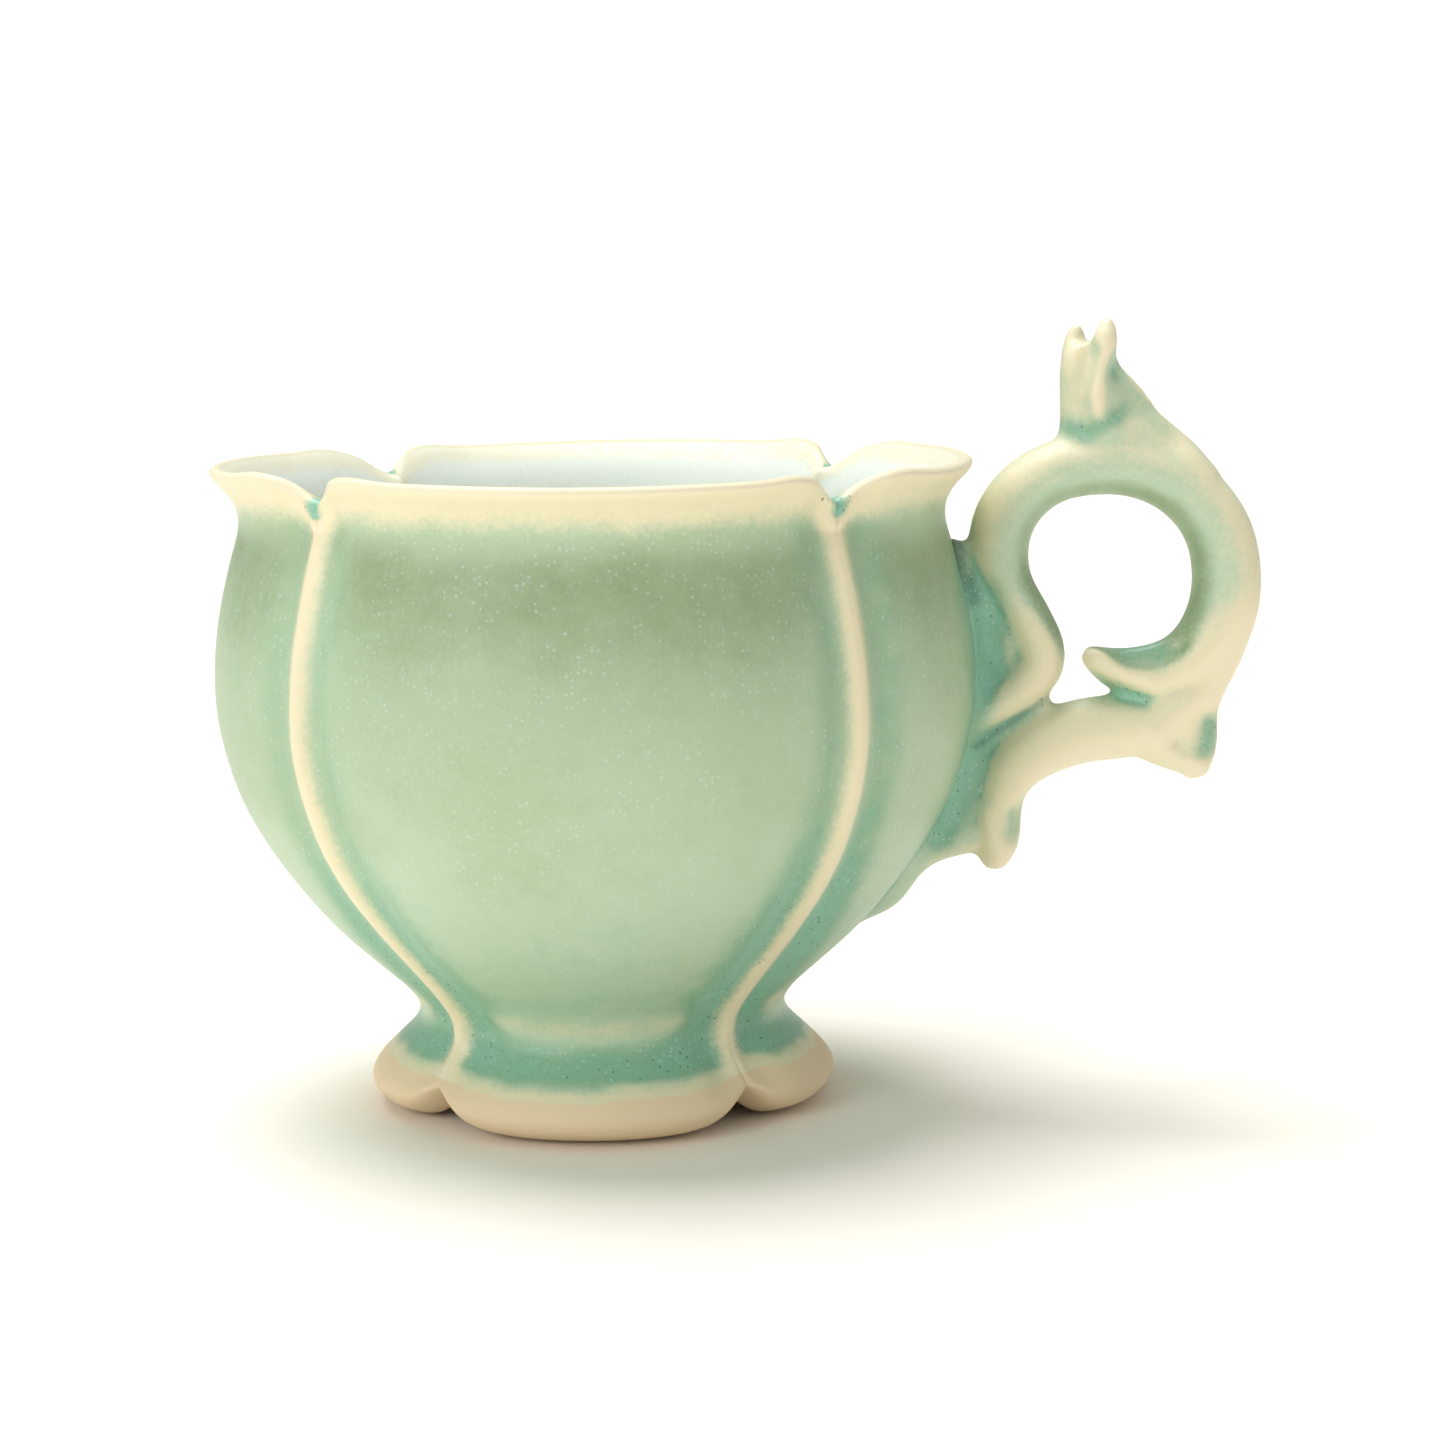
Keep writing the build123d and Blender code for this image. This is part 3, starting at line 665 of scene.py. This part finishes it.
def soften(places, edges, rounds, share):
    """Draws every vertex towards the middle of its neighbours."""
    count = len(places)
    near, far = edges[:, 0], edges[:, 1]
    links = np.bincount(edges.ravel(), minlength=count)[:, None]
    for _ in range(rounds):
        sums = np.column_stack([
            np.bincount(near, places[far, k], count) + np.bincount(far, places[near, k], count)
            for k in range(3)
        ])
        places = places + share * (sums / links - places)
    return places


def to_track(places, points):
    """How far each vertex is from a line through points, seen from the side of the handle."""
    here = places[:, [0, 2]]
    nearest = np.full(len(here), 1e9)
    for start, end in zip(points, points[1:]):
        start = np.array(start) + (handle_shift, 0)
        way = np.array(end) + (handle_shift, 0) - start
        share = np.clip((here - start) @ way / (way @ way), 0, 1)
        gap = np.linalg.norm(here - start - share[:, None] * way, axis=1)
        nearest = np.minimum(nearest, gap)
    return nearest


def even_out(mesh, size):
    """The strands merged into one skin of small even faces."""
    draft = bpy.data.objects.new("draft", mesh)
    scene.collection.objects.link(draft)
    merge = draft.modifiers.new("merge", "REMESH")
    merge.mode = "VOXEL"
    merge.voxel_size = size
    view = bpy.context.evaluated_depsgraph_get()
    merged = bpy.data.meshes.new_from_object(draft.evaluated_get(view))
    bpy.data.objects.remove(draft)
    merged.name = "handle"
    return merged


def press_marks(places, normals):
    """The marks pressed into the faces that they belong on."""
    for points, radius, depth, side in MARKS:
        facing = np.abs(normals[:, 1]) if side == 0 else np.maximum(0, side * normals[:, 1])
        stroke = depth * bell(to_track(places, points), 0, radius) * ease_between(facing, 0.05, 0.7)
        places = places - normals * stroke[:, None]
    return places


def draw_root(places, normals, edges):
    """The root drawn out along the wall, so that it flows into it, and kept out of the bowl."""
    radius = np.hypot(places[:, 0], places[:, 1])
    off_wall = radius - outer_radius(places[:, 2])
    lean = (outer_radius(places[:, 2] + 1) - outer_radius(places[:, 2] - 1)) / 2
    wall_out = np.column_stack([places[:, 0] / radius, places[:, 1] / radius, -lean])
    wall_out = wall_out / np.linalg.norm(wall_out, axis=1)[:, None]
    along_wall = normals - (normals * wall_out).sum(1)[:, None] * wall_out
    draw = 3.0 * np.exp(-np.maximum(off_wall, 0)) * (1 - ease_between(places[:, 2], 66, 72))
    places = soften(places + along_wall * draw[:, None], edges, 2, 0.5)
    radius = np.hypot(places[:, 0], places[:, 1])
    least = inner_radius(places[:, 2]) + 1.0
    push = np.maximum(least / np.maximum(radius, 1), 1.0)
    places[:, :2] = places[:, :2] * push[:, None]
    return places


def add_tracks(amounts, places, tracks):
    """The amounts, with more along each of the tracks."""
    for points, radius, amount in tracks:
        amounts = amounts + amount * bell(to_track(places, points), 0, radius)
    return amounts


def glaze_handle(mesh, places, normals, edges):
    """Where the handle's glaze is thin on edges and pooled in hollows, where shade is painted inside the ring
    and in the deepest hollows, and where light is painted over the whole handle.
    """
    blurred = soften(places, edges, 50, 0.6)
    hollow = ((blurred - places) * normals).sum(1)
    sharp = soften(places, edges, 24, 0.6)
    edge = -((sharp - places) * normals).sum(1)
    x, z = places[:, 0] - handle_shift, places[:, 2]
    off_wall = np.hypot(places[:, 0], places[:, 1]) - outer_radius(z)
    near_wall = np.exp(-np.maximum(off_wall, 0) / 2.2)
    ring_gap = np.hypot(x - RING_X, z - RING_Z)
    towards = -(normals[:, 0] * (x - RING_X) + normals[:, 2] * (z - RING_Z)) / np.maximum(ring_gap, 1)
    inside_ring = ease_between(towards, 0.1, 0.9) * (1 - ease_between(ring_gap, 13, 15))
    outer_ring = ease_between(-towards, -0.2, 0.9) * ease_between(ring_gap, 12.0, 16.0)
    trough = bell(to_track(places, [(60.6, 93.0), (59.8, 87.0)]), 0, 1.8)
    low_strands = (1 - ease_between(z, 58, 66)) * ease_between(x, 47.0, 50.5)
    pool = ease_between(hollow, -0.05, 0.7) * (1 - 0.8 * trough) + 0.75 * near_wall * (z < 73)
    pool = add_tracks(pool, places, POOLS)
    thin = 0.7 * ease_between(edge, 0.1, 0.5) + 0.5 * ease_between(-hollow, 0.2, 0.8)
    thin = thin + 0.6 * outer_ring - 0.55 * inside_ring + 0.5 * low_strands + 0.35 * trough
    thin = thin + 0.32 * ease_between(np.abs(normals[:, 1]), 0.2, 0.9)
    thin = thin * (1 - 0.85 * np.clip(pool, 0, 1)) * (1 - bell(np.maximum(off_wall, 0), 0, 1.2))
    keep_spread(mesh, "thin", np.clip(thin, 0, 1.3))
    keep_spread(mesh, "pool", np.clip(pool, 0, 1.3))
    # Painted shade on the inner side of the ring, painted light evenly over the whole handle, and painted
    # shade in the deepest hollows and along the crevice lines
    keep_spread(mesh, "shade", 0.8 * inside_ring)
    keep_spread(mesh, "light", np.full(len(places), 1.05))
    keep_spread(mesh, "crevice_shade", add_tracks(0.7 * ease_between(hollow, 0.6, 1.2), places, CREVICE_SHADE_LINES))
    keep_spread(mesh, "bare", np.zeros(len(places)))


def model_handle():
    """The handle: strands pressed together, smoothed at the joins and marked with a thumb and a tool."""
    bm = bmesh.new()
    for stations in (COIL, ARM, HEEL, HEEL_FOLD, WEB, LOW_WEB, CREASE, TAIL, THUMB, FLANK, NEAR_HORN,
                     FAR_HORN):
        roll_strand(bm, stations)
    bmesh.ops.recalc_face_normals(bm, faces=bm.faces)
    strands = bpy.data.meshes.new("strands")
    bm.to_mesh(strands)
    bm.free()
    mesh = even_out(strands, SKIN_FACE)
    edges = np.zeros(len(mesh.edges) * 2, int)
    mesh.edges.foreach_get("vertices", edges)
    edges = edges.reshape(-1, 2)
    places = soften(vertex_places(mesh), edges, 8, 0.5)
    places = press_marks(places, settle(mesh, places))
    places = soften(places, edges, 6, 0.5)
    places = draw_root(places, settle(mesh, places), edges)
    glaze_handle(mesh, places, settle(mesh, places), edges)
    settle(mesh, places * MM)
    mesh.materials.clear()
    return mesh


place_camera()
paint_room()
lay_floor()
set_lights()
add_piece("cup_body", throw_body(), breaking_glaze("wall_celadon"),
          ["wall_front", "wall_right", "wall_back", "wall_left", "floor"])
add_piece("handle", model_handle(), breaking_glaze("handle_celadon"),
          ["handle_ring", "handle_scroll", "handle_arm", "thumb_leaf", "heel_leaf", "inner_leaf", "drop_leaf",
           "tail", "saddle"])

bpy.context.view_layer.update()
